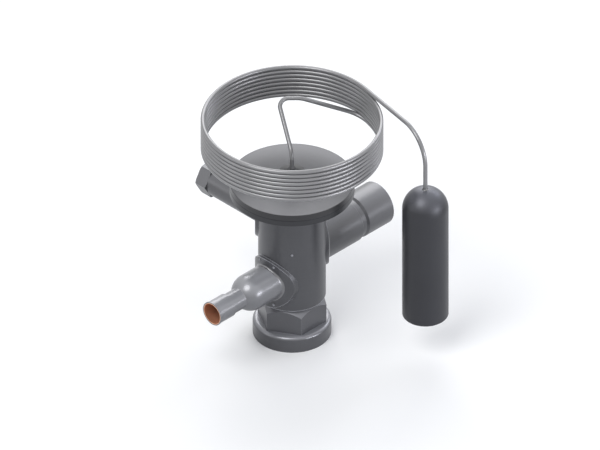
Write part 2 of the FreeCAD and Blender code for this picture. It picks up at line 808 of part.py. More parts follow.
def head_base():
    """Lower shell of the head, with the neck that screws into the body."""
    neck = "(neck_radius - thread_clearance)"
    return turned("head_base", [
        ("neck_bore_radius", f"{BODY_TOP} - neck_length"),
        (neck, f"{BODY_TOP} - neck_length"),
        (neck, BODY_TOP),
        ("head_radius", BODY_TOP),
        ("head_radius", DIAPHRAGM_LEVEL),
        (HEAD_CAVITY, DIAPHRAGM_LEVEL),
        (HEAD_CAVITY, CAVITY_FLOOR),
        ("neck_bore_radius", CAVITY_FLOOR),
    ])


def head_cover():
    """Upper shell of the head, closed by the capillary's hub."""
    ceiling = f"({HEAD_TOP} - head_cover_wall)"
    return turned("head_cover", [
        (HEAD_CAVITY, COVER_LEVEL),
        ("head_radius", COVER_LEVEL),
        ("head_radius", HEAD_TOP),
        ("hub_spigot_radius", HEAD_TOP),
        ("hub_spigot_radius", ceiling),
        (HEAD_CAVITY, ceiling),
    ])


def head_gasket():
    """Flat ring between the body and the head."""
    return ring("head_gasket", "(neck_radius + seat_clearance)",
                "(neck_radius + head_gasket_width)", f"({BODY_TOP} - head_gasket_thickness)",
                "head_gasket_thickness")


def diaphragm():
    """Thin waved diaphragm clamped between the two shells."""
    waves = int(number("diaphragm_waves"))
    width = f"(({HEAD_CAVITY} - diaphragm_margin - diaphragm_flat_radius) / {waves})"
    crests = []
    for wave in range(waves):
        start = f"diaphragm_flat_radius + {wave} * {width}"
        crests.append((start, "0"))
        crests.append((f"{start} + {width} / 4", "diaphragm_wave_height"))
        crests.append((f"{start} + 3 * {width} / 4", "-diaphragm_wave_height"))
    crests.append((f"diaphragm_flat_radius + {waves} * {width}", "0"))
    lower = [(radius, f"{DIAPHRAGM_LEVEL} + {rise}") for radius, rise in crests]
    upper = [(radius, f"{COVER_LEVEL} + {rise}") for radius, rise in reversed(crests)]
    return turned("diaphragm", [("0", DIAPHRAGM_LEVEL)] + lower + [
        ("head_radius", DIAPHRAGM_LEVEL),
        ("head_radius", COVER_LEVEL),
    ] + upper + [("0", COVER_LEVEL)])


def thrust_pad():
    """Disc that takes the diaphragm's movement to the push rod."""
    socket = "(rod_radius + seat_clearance)"
    socket_top = f"({HUB_UNDERSIDE} + rod_socket_depth)"
    return turned("thrust_pad", [
        (socket, HUB_UNDERSIDE),
        ("thrust_hub_radius", HUB_UNDERSIDE),
        ("thrust_hub_radius", THRUST_BOTTOM),
        ("thrust_radius", THRUST_BOTTOM),
        ("thrust_radius", THRUST_TOP),
        ("0", THRUST_TOP),
        ("0", socket_top),
        (socket, socket_top),
    ])


def capillary_hub():
    """Turned hub brazed into the head's cover; the capillary enters it from above."""
    bore = "(capillary_radius + braze_gap)"
    cone_top = f"({HUB_TOP} + hub_cone_height)"
    collar_top = f"({cone_top} + hub_collar_height)"
    bore_floor = f"({collar_top} - hub_bore_depth)"
    spigot_end = f"({HEAD_TOP} - head_cover_wall)"
    spigot = "(hub_spigot_radius - seat_clearance)"
    return turned("capillary_hub", [
        ("capillary_bore_radius", spigot_end),
        (spigot, spigot_end),
        (spigot, HEAD_TOP),
        ("hub_radius", HEAD_TOP),
        ("hub_radius", HUB_TOP),
        ("hub_collar_radius", cone_top),
        ("hub_collar_radius", collar_top),
        (bore, collar_top),
        (bore, bore_floor),
        ("capillary_bore_radius", bore_floor),
    ])


def tangent_route(points, radii):
    """Return the edges of straight runs through points, with a tangent arc at each corner."""
    edges = []
    start = points[0]
    for corner, after, radius in zip(points[1:-1], points[2:], radii):
        inward = (start - corner).normalize()
        outward = (after - corner).normalize()
        half_turn = (math.pi - inward.getAngle(outward)) / 2
        setback = radius * math.tan(half_turn)
        entry = corner + inward * setback
        leave = corner + outward * setback
        bisector = (inward + outward).normalize()
        middle = corner + bisector * (radius / math.cos(half_turn) - radius)
        edges.append(Part.LineSegment(start, entry).toShape())
        edges.append(Part.Arc(entry, middle, leave).toShape())
        start = leave
    edges.append(Part.LineSegment(start, points[-1]).toShape())
    return edges


def helix_points(radius, pitch, turns, runs_per_turn, start_angle, level, sense):
    """Return points of a helix whose straight runs lie half inside and half outside it.

    Its two ends lie on the helix itself, so that what follows them leaves along its tangent.
    """
    runs = round(turns * runs_per_turn)
    step = sense * 2 * math.pi * turns / runs
    points = []
    for index in range(runs + 1):
        angle = start_angle + step * index
        outside = 1 if index in (0, runs) else 1 / math.sqrt(math.cos(step / 2))
        points.append(Vector(radius * outside * math.cos(angle),
                             radius * outside * math.sin(angle),
                             level + pitch * turns * index / runs))
    return points


def round_wire(edges, radius):
    """Return a round wire of the given radius swept along edges that follow one another."""
    first = edges[0]
    start = first.valueAt(first.FirstParameter)
    section = Part.Circle(start, first.tangentAt(first.FirstParameter), radius).toShape()
    return Part.Wire(edges).makePipeShell([Part.Wire([section])], True, False, 1)


def superheat_spring():
    """Compression spring between the carrier and the cone."""
    level = number(f"{CARRIER_TOP} + spring_wire_radius + seat_clearance")
    top = number(f"{FLANGE_BOTTOM} - spring_wire_radius - seat_clearance")
    turns = number("spring_turns")
    points = helix_points(number("spring_mean_radius"), (top - level) / turns, turns,
                          int(number("spring_runs_per_turn")), 0.0, level, 1)
    edges = [Part.LineSegment(a, b).toShape() for a, b in zip(points, points[1:])]
    spring = doc.addObject("Part::Feature", "superheat_spring")
    spring.Shape = round_wire(edges, number("spring_wire_radius"))
    return spring


def capillary_points():
    """Return the coil's points, the riser's corners before it and the tail's after it."""
    head_top = number(HEAD_TOP)
    start_angle = math.radians(number("coil_start_angle"))
    coil = helix_points(number("coil_radius"), number("coil_pitch"), number("coil_turns"),
                        int(number("coil_runs_per_turn")), start_angle,
                        head_top + number("coil_start_rise"), -1)
    end_angle = start_angle - 2 * math.pi * number("coil_turns")
    backward = Vector(-math.sin(start_angle), math.cos(start_angle), 0)
    forward = Vector(math.sin(end_angle), -math.cos(end_angle), 0)
    hub_floor = number(f"{HUB_TOP} + hub_cone_height + hub_collar_height - hub_bore_depth")
    riser = [
        Vector(0, 0, hub_floor),
        Vector(0, 0, head_top + number("riser_rise")),
        Vector(number("crest_x"), number("crest_y"), head_top + number("crest_rise")),
        Vector(number("shoulder_x"), number("shoulder_y"), head_top + number("crest_rise")),
        coil[0] + backward * number("entry_run"),
    ]
    corner = coil[-1] + forward * number("tail_run")
    bulb_top = number("bulb_bottom_rise + bulb_length - bulb_insert")
    tail = [corner, Vector(corner.x, corner.y, bulb_top)]
    return riser, coil, tail


def capillary_tube():
    """Capillary: up from the hub, eight close turns about the axis, then down to the bulb."""
    riser, coil, tail = capillary_points()
    bends = [number("riser_bend_radius"), number("crest_bend_radius"),
             number("shoulder_bend_radius"), number("entry_bend_radius")]
    edges = tangent_route(riser + [coil[0]], bends)
    edges += [Part.LineSegment(a, b).toShape() for a, b in zip(coil, coil[1:])]
    edges += tangent_route([coil[-1]] + tail, [number("tail_bend_radius")])
    tube = doc.addObject("Part::Feature", "capillary_tube")
    tube.Shape = round_wire(edges, number("capillary_radius"))
    length = sum(edge.Length for edge in edges)
    section = math.pi * number("capillary_radius") ** 2
    print("capillary length %.1f mm, volume over section times length %.5f"
          % (length, tube.Shape.Volume / (section * length)))
    return tube


def sensing_bulb():
    """Hollow sensing bulb with a round top, where the capillary ends."""
    tail = capillary_points()[2]
    bore = "(capillary_radius + braze_gap)"
    inner = "(bulb_radius - bulb_wall)"
    dome = "(bulb_length - bulb_radius)"
    outer_top = f"({dome} + sqrt(bulb_radius^2 - {bore}^2))"
    inner_top = f"({dome} + sqrt({inner}^2 - {bore}^2))"
    bulb = turned("sensing_bulb", [
        ("0", "0"),
        ("bulb_radius - bulb_edge_radius", "0", "bulb_edge_radius", 1),
        ("bulb_radius", "bulb_edge_radius"),
        ("bulb_radius", dome, "bulb_radius", 1),
        (bore, outer_top),
        (bore, inner_top, inner, -1),
        (inner, dome),
        (inner, "bulb_wall"),
        ("0", "bulb_wall"),
    ])
    place(bulb, ("0", "0", "bulb_bottom_rise"))
    bulb.Placement.Base = Vector(tail[0].x, tail[0].y, number("bulb_bottom_rise"))
    return bulb


def build():
    """Make every sub-part, from the base upwards."""
    makers = {
        "seal_cap": seal_cap,
        "cap_gasket": cap_gasket,
        "bottom_plug": bottom_plug,
        "setting_spindle": setting_spindle,
        "spindle_seal": spindle_seal,
        "spring_carrier": spring_carrier,
        "superheat_spring": superheat_spring,
        "valve_cone": valve_cone,
        "orifice_seat": orifice_seat,
        "push_rod": push_rod,
        "rod_guide": rod_guide,
        "rod_packing": rod_packing,
        "packing_gland": packing_gland,
        "valve_body": valve_body,
        "inlet_connector": inlet_connector,
        "inlet_strainer": inlet_strainer,
        "outlet_connector": outlet_connector,
        "equalizer_stem": equalizer_stem,
        "equalizer_bonnet": equalizer_bonnet,
        "equalizer_nut": equalizer_nut,
        "head_gasket": head_gasket,
        "head_base": head_base,
        "diaphragm": diaphragm,
        "thrust_pad": thrust_pad,
        "head_cover": head_cover,
        "capillary_hub": capillary_hub,
        "capillary_tube": capillary_tube,
        "sensing_bulb": sensing_bulb,
    }
    for label, make in makers.items():
        sub_part(make(), label)
    sub_part(copper_liner("inlet_copper_liner", "inlet_tube_radius", INLET_END,
                          "inlet_socket_depth", INLET_LEVEL, TO_INLET), "inlet_copper_liner")
    sub_part(copper_liner("outlet_copper_liner", "outlet_tube_radius", OUTLET_END,
                          "outlet_socket_depth", OUTLET_LEVEL, TO_OUTLET),
             "outlet_copper_liner")


def check():
    """Stop if any object failed or any sub-part is not one sound solid."""
    failed = [item.Name for item in doc.Objects
              if "Invalid" in item.State or "Error" in item.State]
    if failed:
        raise RuntimeError("failed objects: " + ", ".join(failed))
    for item in SUB_PARTS:
        if item.Shape.isNull() or not item.Shape.isValid() or not item.Shape.Solids:
            raise RuntimeError("unsound sub-part: " + item.Label)


def write():
    """Write each sub-part to its own file."""
    os.makedirs("parts", exist_ok=True)
    for item in SUB_PARTS:
        item.Shape.exportStep("parts/%s.step" % item.Label)
        print("%-22s %9.1f mm3 %d solid" % (item.Label, item.Shape.Volume,
                                            len(item.Shape.Solids)))


build()
doc.recompute()
check()
write()
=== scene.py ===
"""Looks of a refrigerant expansion valve with a wound capillary and a remote sensing bulb.

Everything is in metres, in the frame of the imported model: +Z up, the origin under the seal cap,
the inlet along -X, the outlet along +X and the equalising port along +Y.
"""
import logging
import math
from collections.abc import Callable
from dataclasses import dataclass
from enum import Enum

import bpy
from mathutils import Matrix, Vector


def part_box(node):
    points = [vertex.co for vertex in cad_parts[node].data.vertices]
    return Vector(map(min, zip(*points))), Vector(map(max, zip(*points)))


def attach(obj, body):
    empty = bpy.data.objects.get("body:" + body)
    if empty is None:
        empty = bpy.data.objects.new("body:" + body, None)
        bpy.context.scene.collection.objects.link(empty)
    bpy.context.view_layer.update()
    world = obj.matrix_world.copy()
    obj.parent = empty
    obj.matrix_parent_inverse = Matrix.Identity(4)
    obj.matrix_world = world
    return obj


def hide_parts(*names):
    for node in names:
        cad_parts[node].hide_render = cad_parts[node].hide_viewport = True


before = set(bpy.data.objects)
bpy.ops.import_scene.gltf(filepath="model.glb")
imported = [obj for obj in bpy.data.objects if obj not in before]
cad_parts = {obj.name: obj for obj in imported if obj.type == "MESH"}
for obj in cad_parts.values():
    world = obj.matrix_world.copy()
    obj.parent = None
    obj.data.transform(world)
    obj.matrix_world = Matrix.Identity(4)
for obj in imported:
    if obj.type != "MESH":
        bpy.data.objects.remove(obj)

LOG = logging.getLogger("expansion_valve")
MM = 0.001
SHARP_ANGLE = math.radians(40)
RUN_COARSENESS = 6

Color = tuple[float, float, float]
Place = tuple[float, float, float]


class Grain(Enum):
    """How the tool or the die has left a surface, as its stretch along, across and round."""

    TURNED = (1.0, 1.0, 0.0006)
    DRAWN = (0.02, 1.0, 0.0012)


class Axis(Enum):
    """The axis that a turned piece was turned about, as an index of its coordinate."""

    X = 0
    Y = 1
    Z = 2


class Heading(Enum):
    """The direction in which a port or a tube leaves the piece that carries it."""

    INLET = (-1.0, 0.0, 0.0)
    OUTLET = (1.0, 0.0, 0.0)
    EQUALIZER = (0.0, 1.0, 0.0)
    UP = (0.0, 0.0, 1.0)

    def axis(self) -> Axis:
        """Return the axis that the heading lies on."""
        return Axis([abs(part) for part in self.value].index(1.0))


class Graph:
    """A small helper that adds and wires the nodes of one material or world."""

    def __init__(self, owner: bpy.types.Material | bpy.types.World) -> None:
        """Start an empty graph.

        Args:
            owner: the material or world whose nodes are written.
        """
        owner.use_nodes = True
        self.tree = owner.node_tree
        self.tree.nodes.clear()

    def node(self, kind: str, inputs: dict | None = None, **settings: object) -> bpy.types.Node:
        """Add a node.

        Args:
            kind: the node's type, without the ShaderNode prefix.
            inputs: values or sockets by the input's name or number.
            settings: the node's own properties.

        Returns:
            The new node.
        """
        made = self.tree.nodes.new("ShaderNode" + kind)
        for name, value in settings.items():
            setattr(made, name, value)
        for name, value in (inputs or {}).items():
            self.set(made.inputs[name], value)
        return made

    def set(self, socket: bpy.types.NodeSocket, value: object) -> None:
        """Link a socket to another, or give it a plain value.

        Args:
            socket: the input to set.
            value: an output socket, a number, a colour or a vector.
        """
        if isinstance(value, bpy.types.NodeSocket):
            self.tree.links.new(value, socket)
        else:
            socket.default_value = value

    def math(self, operation: str, first: object, second: object = 0.0) -> bpy.types.NodeSocket:
        """Add a Math node of the named operation and return its output."""
        return self.node("Math", {0: first, 1: second}, operation=operation).outputs[0]

    def spread(self, factor: object, low: float, high: float) -> bpy.types.NodeSocket:
        """Map a factor from 0 to 1 on to the range from low to high."""
        mapped = self.node("MapRange", {"Value": factor, "To Min": low, "To Max": high})
        return mapped.outputs["Result"]

    def noise(self, place: bpy.types.NodeSocket, scale: float, detail: float
              ) -> bpy.types.NodeSocket:
        """Add a noise pattern from 0 to 1, whose scale is in cycles a metre."""
        return self.node("TexNoise", {"Vector": place, "Scale": scale, "Detail": detail}
                         ).outputs["Fac"]

    def tinted(self, color: Color, shade: bpy.types.NodeSocket) -> bpy.types.NodeSocket:
        """Multiply a colour by a shade that varies over the surface."""
        mixed = self.node("MixRGB", {"Fac": 1.0, "Color1": (*color, 1.0), "Color2": shade},
                          blend_type="MULTIPLY")
        return mixed.outputs["Color"]

    def seen_directly(self) -> bpy.types.NodeSocket:
        """Tell the rays of the camera, of metal and of glass from the light's own.

        Returns:
            A mask that is 1 for such a ray and 0 for another.
        """
        rays = self.node("LightPath").outputs
        mirrored = self.math("MAXIMUM", rays["Is Glossy Ray"], rays["Is Transmission Ray"])
        return self.math("MAXIMUM", rays["Is Camera Ray"], mirrored)


@dataclass(frozen=True)
class MetalFinish:
    """A bare metal surface with tool marks, faint stains, and edges made paler for handling wear
    and as painted highlights.

    A finish may also have painted light that makes the faces that look up paler, and painted shade
    that darkens a rim.
    """

    name: str
    color: Color
    roughness: float = 0.35
    metallic: float = 0.5
    grain: Grain = Grain.TURNED
    axis: Axis = Axis.Z
    level: float = 0.0
    line_scale: float = 3200.0
    line_detail: float = 3.0
    line_shade: float = 0.06
    line_depth: float = 0.05
    line_height: float = 0.2 * MM
    mottle: float = 0.10
    mottle_scale: float = 55.0
    mottle_detail: float = 5.0
    smoother_stains: float = 0.6
    rougher_stains: float = 0.7
    # edges made paler, partly for handling wear and partly as painted highlights
    edge_wear_and_highlight: float = 0.7
    edge_reach: float = 0.6 * MM
    edge_samples: int = 8
    edge_turn: tuple[float, float] = (0.06, 0.25)
    # painted light: how much paler the faces that look up are made, and the slope over which it
    # comes in
    painted_top_light: float = 0.0
    painted_top_light_slope: tuple[float, float] = (0.3, 0.95)
    # painted shade: the radius beyond which a rim is darkened, how far the darkening fades in, and
    # how dark it ends
    shaded_rim_from: float = 0.0
    shaded_rim_fade: float = 0.35 * MM
    shaded_rim_factor: float = 0.35

    def material(self) -> bpy.types.Material:
        """Build the finish as a procedural material.

        Returns:
            The material.
        """
        made = bpy.data.materials.new(self.name)
        graph = Graph(made)
        place = graph.node("TexCoord").outputs["Object"]
        turned = self.turned(graph, place)
        lines = self.lines(graph, turned)
        stains = graph.noise(place, self.mottle_scale, self.mottle_detail)
        shade = graph.spread(stains, 1.0 - self.mottle, 1.0 + self.mottle)
        marks = graph.spread(lines, 1.0 - self.line_shade, 1.0 + self.line_shade)
        shade = graph.math("MULTIPLY", shade, marks)
        # Edges are made paler, partly as handling wear and partly as painted highlights.
        wear_and_highlight = graph.math("MULTIPLY", self.edge(graph), self.edge_wear_and_highlight)
        shade = graph.math("ADD", shade, wear_and_highlight)
        # Painted light: the faces that look up are made paler, as if lit from above.
        if self.painted_top_light:
            top_light = graph.math("MULTIPLY", self.top_light_mask(graph), self.painted_top_light)
            shade = graph.math("ADD", shade, top_light)
        # Painted shade: the rim beyond a radius from the axis is darkened.
        if self.shaded_rim_from:
            shade = graph.math("MULTIPLY", shade, self.rim_shade(graph, turned[1]))
        rough = graph.spread(stains, self.roughness - self.smoother_stains * self.mottle,
                             self.roughness + self.rougher_stains * self.mottle)
        bump = graph.node("Bump", {"Height": lines, "Strength": self.line_depth,
                                   "Distance": self.line_height}).outputs["Normal"]
        shader = graph.node("BsdfPrincipled", {
            "Base Color": graph.tinted(self.color, shade), "Metallic": self.metallic,
            "Roughness": rough, "Normal": bump,
        })
        graph.node("OutputMaterial", {"Surface": shader.outputs["BSDF"]})
        return made

    def turned(self, graph: Graph, place: bpy.types.NodeSocket
               ) -> tuple[bpy.types.NodeSocket, ...]:
        """Find where a point lies about the axis that the piece was turned on.

        Args:
            graph: the material's graph.
            place: the position in the object's frame.

        Returns:
            The distance along the axis, the distance from it and the angle round it.
        """
        centre = (0.0, 0.0, 0.0 if self.axis is Axis.Z else self.level)
        offset = graph.node("VectorMath", {0: place, 1: centre}, operation="SUBTRACT")
        parts = graph.node("SeparateXYZ", {0: offset.outputs[0]}).outputs
        along = parts[self.axis.value]
        across = [parts[index] for index in range(3) if index != self.axis.value]
        squares = [graph.math("MULTIPLY", part, part) for part in across]
        radius = graph.math("SQRT", graph.math("ADD", *squares))
        return along, radius, graph.math("ARCTAN2", *across)

    def lines(self, graph: Graph, turned: tuple[bpy.types.NodeSocket, ...]
              ) -> bpy.types.NodeSocket:
        """Add the pattern of tool marks.

        Args:
            graph: the material's graph.
            turned: the place along, away from and round the axis.

        Returns:
            The height of the marks, from 0 to 1.
        """
        packed = graph.node("CombineXYZ", {
            index: graph.math("MULTIPLY", part, stretch)
            for index, (part, stretch) in enumerate(zip(turned, self.grain.value))
        }).outputs[0]
        return graph.noise(packed, self.line_scale, self.line_detail)

    def top_light_mask(self, graph: Graph) -> bpy.types.NodeSocket:
        """Find the faces that look up, which are made paler as painted light from above.

        Args:
            graph: the material's graph.

        Returns:
            A mask that is 1 on a face that looks up and 0 on an upright one.
        """
        normal = graph.node("TexCoord").outputs["Normal"]
        height = graph.node("SeparateXYZ", {0: normal}).outputs[2]
        flat_enough, level = self.painted_top_light_slope
        return graph.node("MapRange", {"Value": height, "From Min": flat_enough,
                                       "From Max": level}).outputs["Result"]

    def rim_shade(self, graph: Graph, radius: bpy.types.NodeSocket) -> bpy.types.NodeSocket:
        """Darken the rim as painted shade.

        Args:
            graph: the material's graph.
            radius: the distance from the axis.

        Returns:
            A factor that is 1 inside the shaded rim and less on it.
        """
        return graph.node("MapRange", {
            "Value": radius, "From Min": self.shaded_rim_from,
            "From Max": self.shaded_rim_from + self.shaded_rim_fade,
            "To Min": 1.0, "To Max": self.shaded_rim_factor,
        }).outputs["Result"]

    def edge(self, graph: Graph) -> bpy.types.NodeSocket:
        """Find the edges, which are made paler for handling wear and as painted highlights.

        Args:
            graph: the material's graph.

        Returns:
            A mask that is 1 on an edge and 0 on a plain face.
        """
        rounded = graph.node("Bevel", {"Radius": self.edge_reach}, samples=self.edge_samples
                             ).outputs["Normal"]
        true = graph.node("NewGeometry").outputs["Normal"]
        match = graph.node("VectorMath", {0: rounded, 1: true}, operation="DOT_PRODUCT")
        away = graph.math("SUBTRACT", 1.0, match.outputs["Value"])
        least, full = self.edge_turn
        return graph.node("MapRange", {"Value": away, "From Min": least, "From Max": full}
                          ).outputs["Result"]


@dataclass(frozen=True)
class BrazeFinish:
    """Brazing metal that has flowed and frozen with a fine ripple and a dull flux bloom."""

    name: str
    color: Color
    roughness: float = 0.30
    metallic: float = 0.9
    ripple_scale: float = 700.0
    ripple_detail: float = 2.0
    ripple_depth: float = 0.25
    ripple_height: float = 0.2 * MM
    bloom_scale: float = 140.0
    bloom_detail: float = 4.0
    bloom_shade: float = 0.3
    smoother_bloom: float = 0.08
    rougher_bloom: float = 0.12

    def material(self) -> bpy.types.Material:
        """Build the finish as a procedural material.

        Returns:
            The material.
        """
        made = bpy.data.materials.new(self.name)
        graph = Graph(made)
        place = graph.node("TexCoord").outputs["Object"]
        ripple = graph.noise(place, self.ripple_scale, self.ripple_detail)
        bloom = graph.noise(place, self.bloom_scale, self.bloom_detail)
        bump = graph.node("Bump", {"Height": ripple, "Strength": self.ripple_depth,
                                   "Distance": self.ripple_height})
        shade = graph.spread(bloom, 1.0 - self.bloom_shade, 1.0 + self.bloom_shade)
        shader = graph.node("BsdfPrincipled", {
            "Base Color": graph.tinted(self.color, shade),
            "Metallic": self.metallic,
            "Roughness": graph.spread(bloom, self.roughness - self.smoother_bloom,
                                      self.roughness + self.rougher_bloom),
            "Normal": bump.outputs["Normal"],
        })
        graph.node("OutputMaterial", {"Surface": shader.outputs["BSDF"]})
        return made


@dataclass(frozen=True)
class WovenFinish:
    """Fine wire cloth, as in a strainer."""

    name: str
    color: Color
    metallic: float = 0.9
    roughness: float = 0.4
    weave_scale: float = 150.0
    weave_depth: float = 0.6
    weave_height: float = 0.1 * MM
    gap_shade: float = 0.35
    wire_shade: float = 1.15

    def material(self) -> bpy.types.Material:
        """Build the finish as a procedural material.

        Returns:
            The material.
        """
        made = bpy.data.materials.new(self.name)
        graph = Graph(made)
        place = graph.node("TexCoord").outputs["Object"]
        warp, weft = [graph.node("TexWave", {"Vector": place, "Scale": self.weave_scale},
                                 bands_direction=side).outputs["Fac"]
                      for side in ("X", "DIAGONAL")]
        weave = graph.math("MAXIMUM", warp, weft)
        bump = graph.node("Bump", {"Height": weave, "Strength": self.weave_depth,
                                   "Distance": self.weave_height})
        shade = graph.spread(weave, self.gap_shade, self.wire_shade)
        shader = graph.node("BsdfPrincipled", {
            "Base Color": graph.tinted(self.color, shade), "Metallic": self.metallic,
            "Roughness": self.roughness, "Normal": bump.outputs["Normal"],
        })
        graph.node("OutputMaterial", {"Surface": shader.outputs["BSDF"]})
        return made


@dataclass(frozen=True)
class SealFinish:
    """A dull rubber or graphite seal."""

    name: str
    color: Color = (0.02, 0.02, 0.022)
    grit_scale: float = 900.0
    grit_detail: float = 4.0
    grit_depth: float = 0.2
    grit_height: float = 0.1 * MM
    shades: tuple[float, float] = (0.7, 1.4)
    roughness: tuple[float, float] = (0.6, 0.8)

    def material(self) -> bpy.types.Material:
        """Build the finish as a procedural material.

        Returns:
            The material.
        """
        made = bpy.data.materials.new(self.name)
        graph = Graph(made)
        place = graph.node("TexCoord").outputs["Object"]
        grit = graph.noise(place, self.grit_scale, self.grit_detail)
        bump = graph.node("Bump", {"Height": grit, "Strength": self.grit_depth,
                                   "Distance": self.grit_height})
        shader = graph.node("BsdfPrincipled", {
            "Base Color": graph.tinted(self.color, graph.spread(grit, *self.shades)),
            "Roughness": graph.spread(grit, *self.roughness), "Normal": bump.outputs["Normal"],
        })
        graph.node("OutputMaterial", {"Surface": shader.outputs["BSDF"]})
        return made


Finish = MetalFinish | BrazeFinish | WovenFinish | SealFinish


def mesh_object(name: str, points: list[Vector], faces: list[tuple[int, ...]]
                ) -> bpy.types.Object:
    """Make a smooth-shaded mesh object at the origin.

    Args:
        name: the piece's name.
        points: its vertices, in metres.
        faces: its faces, as indices of the vertices.

    Returns:
        The new object, linked to the scene.
    """
    mesh = bpy.data.meshes.new(name)
    mesh.from_pydata([tuple(point) for point in points], [], faces)
    mesh.validate()
    mesh.update()
    mesh.shade_smooth()
    mesh.set_sharp_from_angle(angle=SHARP_ANGLE)
    made = bpy.data.objects.new(name, mesh)
    bpy.context.scene.collection.objects.link(made)
    return made


def ring_faces(rings: int, sides: int, closed: bool) -> list[tuple[int, ...]]:
    """Join rings of points with faces.

    Args:
        rings: the number of rings.
        sides: the number of points in each.
        closed: whether the last ring joins the first.

    Returns:
        The faces, with an end face at each end where the rings don't close.
    """
    faces: list[tuple[int, ...]] = []
    for ring in range(rings if closed else rings - 1):
        low, high = ring * sides, (ring + 1) % rings * sides
        for side in range(sides):
            after = (side + 1) % sides
            faces.append((low + side, low + after, high + after, high + side))
    if not closed:
        faces.append(tuple(reversed(range(sides))))
        faces.append(tuple(range((rings - 1) * sides, rings * sides)))
    return faces


def tube_mesh(name: str, path: list[Vector], radius: float, sides: int) -> bpy.types.Object:
    """Sweep a circle along a path without twist, and close both ends.

    Args:
        name: the piece's name.
        path: the points of the centre line.
        radius: the tube's radius.
        sides: the number of points round it.

    Returns:
        The new object.
    """
    points: list[Vector] = []
    heading = (path[1] - path[0]).normalized()
    across = heading.orthogonal().normalized()
    for index, centre in enumerate(path):
        before = path[max(index - 1, 0)]
        after = path[min(index + 1, len(path) - 1)]
        turned = (after - before).normalized()
        across = (heading.rotation_difference(turned) @ across).normalized()
        heading = turned
        other = heading.cross(across)
        for side in range(sides):
            angle = 2 * math.pi * side / sides
            points.append(centre + (across * math.cos(angle) + other * math.sin(angle)) * radius)
    return mesh_object(name, points, ring_faces(len(path), sides, closed=False))


def rounded_route(corners: list[Vector], radii: list[float], step: float = 0.8 * MM
                  ) -> list[Vector]:
    """Return points along straight runs whose corners are tangent arcs.

    Args:
        corners: the route's corners, with its two ends.
        radii: the bend radius at each inner corner.
        step: the greatest distance between points on an arc; straight runs are coarser.

    Returns:
        The points, with both ends.
    """
    points = [corners[0]]
    for before, corner, after, radius in zip(corners, corners[1:], corners[2:], radii):
        inward = (before - corner).normalized()
        outward = (after - corner).normalized()
        turn = math.pi - inward.angle(outward)
        start = corner + inward * (radius * math.tan(turn / 2))
        centre = corner + (inward + outward).normalized() * (radius / math.cos(turn / 2))
        axis = (-inward).cross(outward).normalized()
        points += straight_run(points[-1], start, RUN_COARSENESS * step)[:-1]
        count = max(4, math.ceil(turn * radius / step))
        for index in range(count + 1):
            spin = Matrix.Rotation(turn * index / count, 3, axis)
            points.append(centre + spin @ (start - centre))
    return points + straight_run(points[-1], corners[-1], RUN_COARSENESS * step)


def straight_run(start: Vector, end: Vector, step: float) -> list[Vector]:
    """Return the points after the start of a straight run, about a step apart."""
    pieces = max(2, round((end - start).length / step))
    return [start.lerp(end, index / pieces) for index in range(1, pieces + 1)]


@dataclass
class BrazeBead:
    """A hollow-faced ring of brazing metal where a round tube leaves another surface."""

    name: str
    heading: Heading
    centre: Place
    tube_radius: float
    height: float
    finish: Finish
    slot: str
    surface: Callable[[float, float], float]
    segments: int = 96
    profile_steps: int = 7
    overlap: float = 0.3 * MM

    def profile(self) -> list[tuple[float, float]]:
        """Draw the ring's outline.

        Returns:
            Its points, as distances from the tube's axis and from the surface.
        """
        arc = []
        for step in range(self.profile_steps + 1):
            turn = math.pi / 2 * step / self.profile_steps
            arc.append((self.tube_radius + self.height * (1 - math.sin(turn)),
                        self.height * (1 - math.cos(turn))))
        inner = self.tube_radius - self.overlap
        return arc + [(inner, self.height), (inner, -self.overlap),
                      (self.tube_radius + self.height, -self.overlap)]

    def build(self) -> None:
        """Make the ring and fix it to the valve."""
        forward = Vector(self.heading.value)
        along_x = self.heading.axis() is Axis.X
        side = Vector((0.0, 1.0, 0.0)) if along_x else Vector((1.0, 0.0, 0.0))
        other = forward.cross(side)
        outline = self.profile()
        points = []
        for segment in range(self.segments):
            angle = 2 * math.pi * segment / self.segments
            for radius, rise in outline:
                lateral, vertical = radius * math.cos(angle), radius * math.sin(angle)
                depth = self.surface(lateral, vertical) + rise
                points.append(Vector(self.centre) + forward * depth + side * lateral
                              + other * vertical)
        ring = mesh_object(self.name, points, ring_faces(self.segments, len(outline), closed=True))
        dress(ring, self.finish.material())
        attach(ring, "valve")
        LOG.info("%s: %d faces", self.name, len(ring.data.polygons))


def dress(piece: bpy.types.Object, material: bpy.types.Material) -> None:
    """Give a piece one material and no other."""
    piece.data.materials.clear()
    piece.data.materials.append(material)


def dress_solids(finish: Finish, *nodes: str) -> None:
    """Give carried-over solids one finish.

    Args:
        finish: the finish.
        nodes: the solids' names.
    """
    material = finish.material()
    for node in nodes:
        dress(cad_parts[node], material)
        LOG.info("%s: %s", node, finish.name)


STEEL = (0.086, 0.087, 0.094)
PALE_STEEL = (0.19, 0.192, 0.203)
COPPER = (0.72, 0.38, 0.24)


@dataclass
class ValveBody:
    """The upright turned body with its saddle pads, and the hexagon plug below it."""

    # The body's edges are made much paler, mostly as painted highlights on its pad rims and edges.
    finish: MetalFinish = MetalFinish("body_steel", STEEL, edge_wear_and_highlight=5.0,
                                      edge_reach=1.1 * MM, painted_top_light=0.7)
    plug: MetalFinish = MetalFinish("plug_steel", (0.112, 0.113, 0.122), edge_wear_and_highlight=1.6,
                                    painted_top_light=1.2)

    def build(self) -> None:
        """Dress the body and its plug."""
        dress_solids(self.finish, "valve_body")
        dress_solids(self.plug, "bottom_plug")


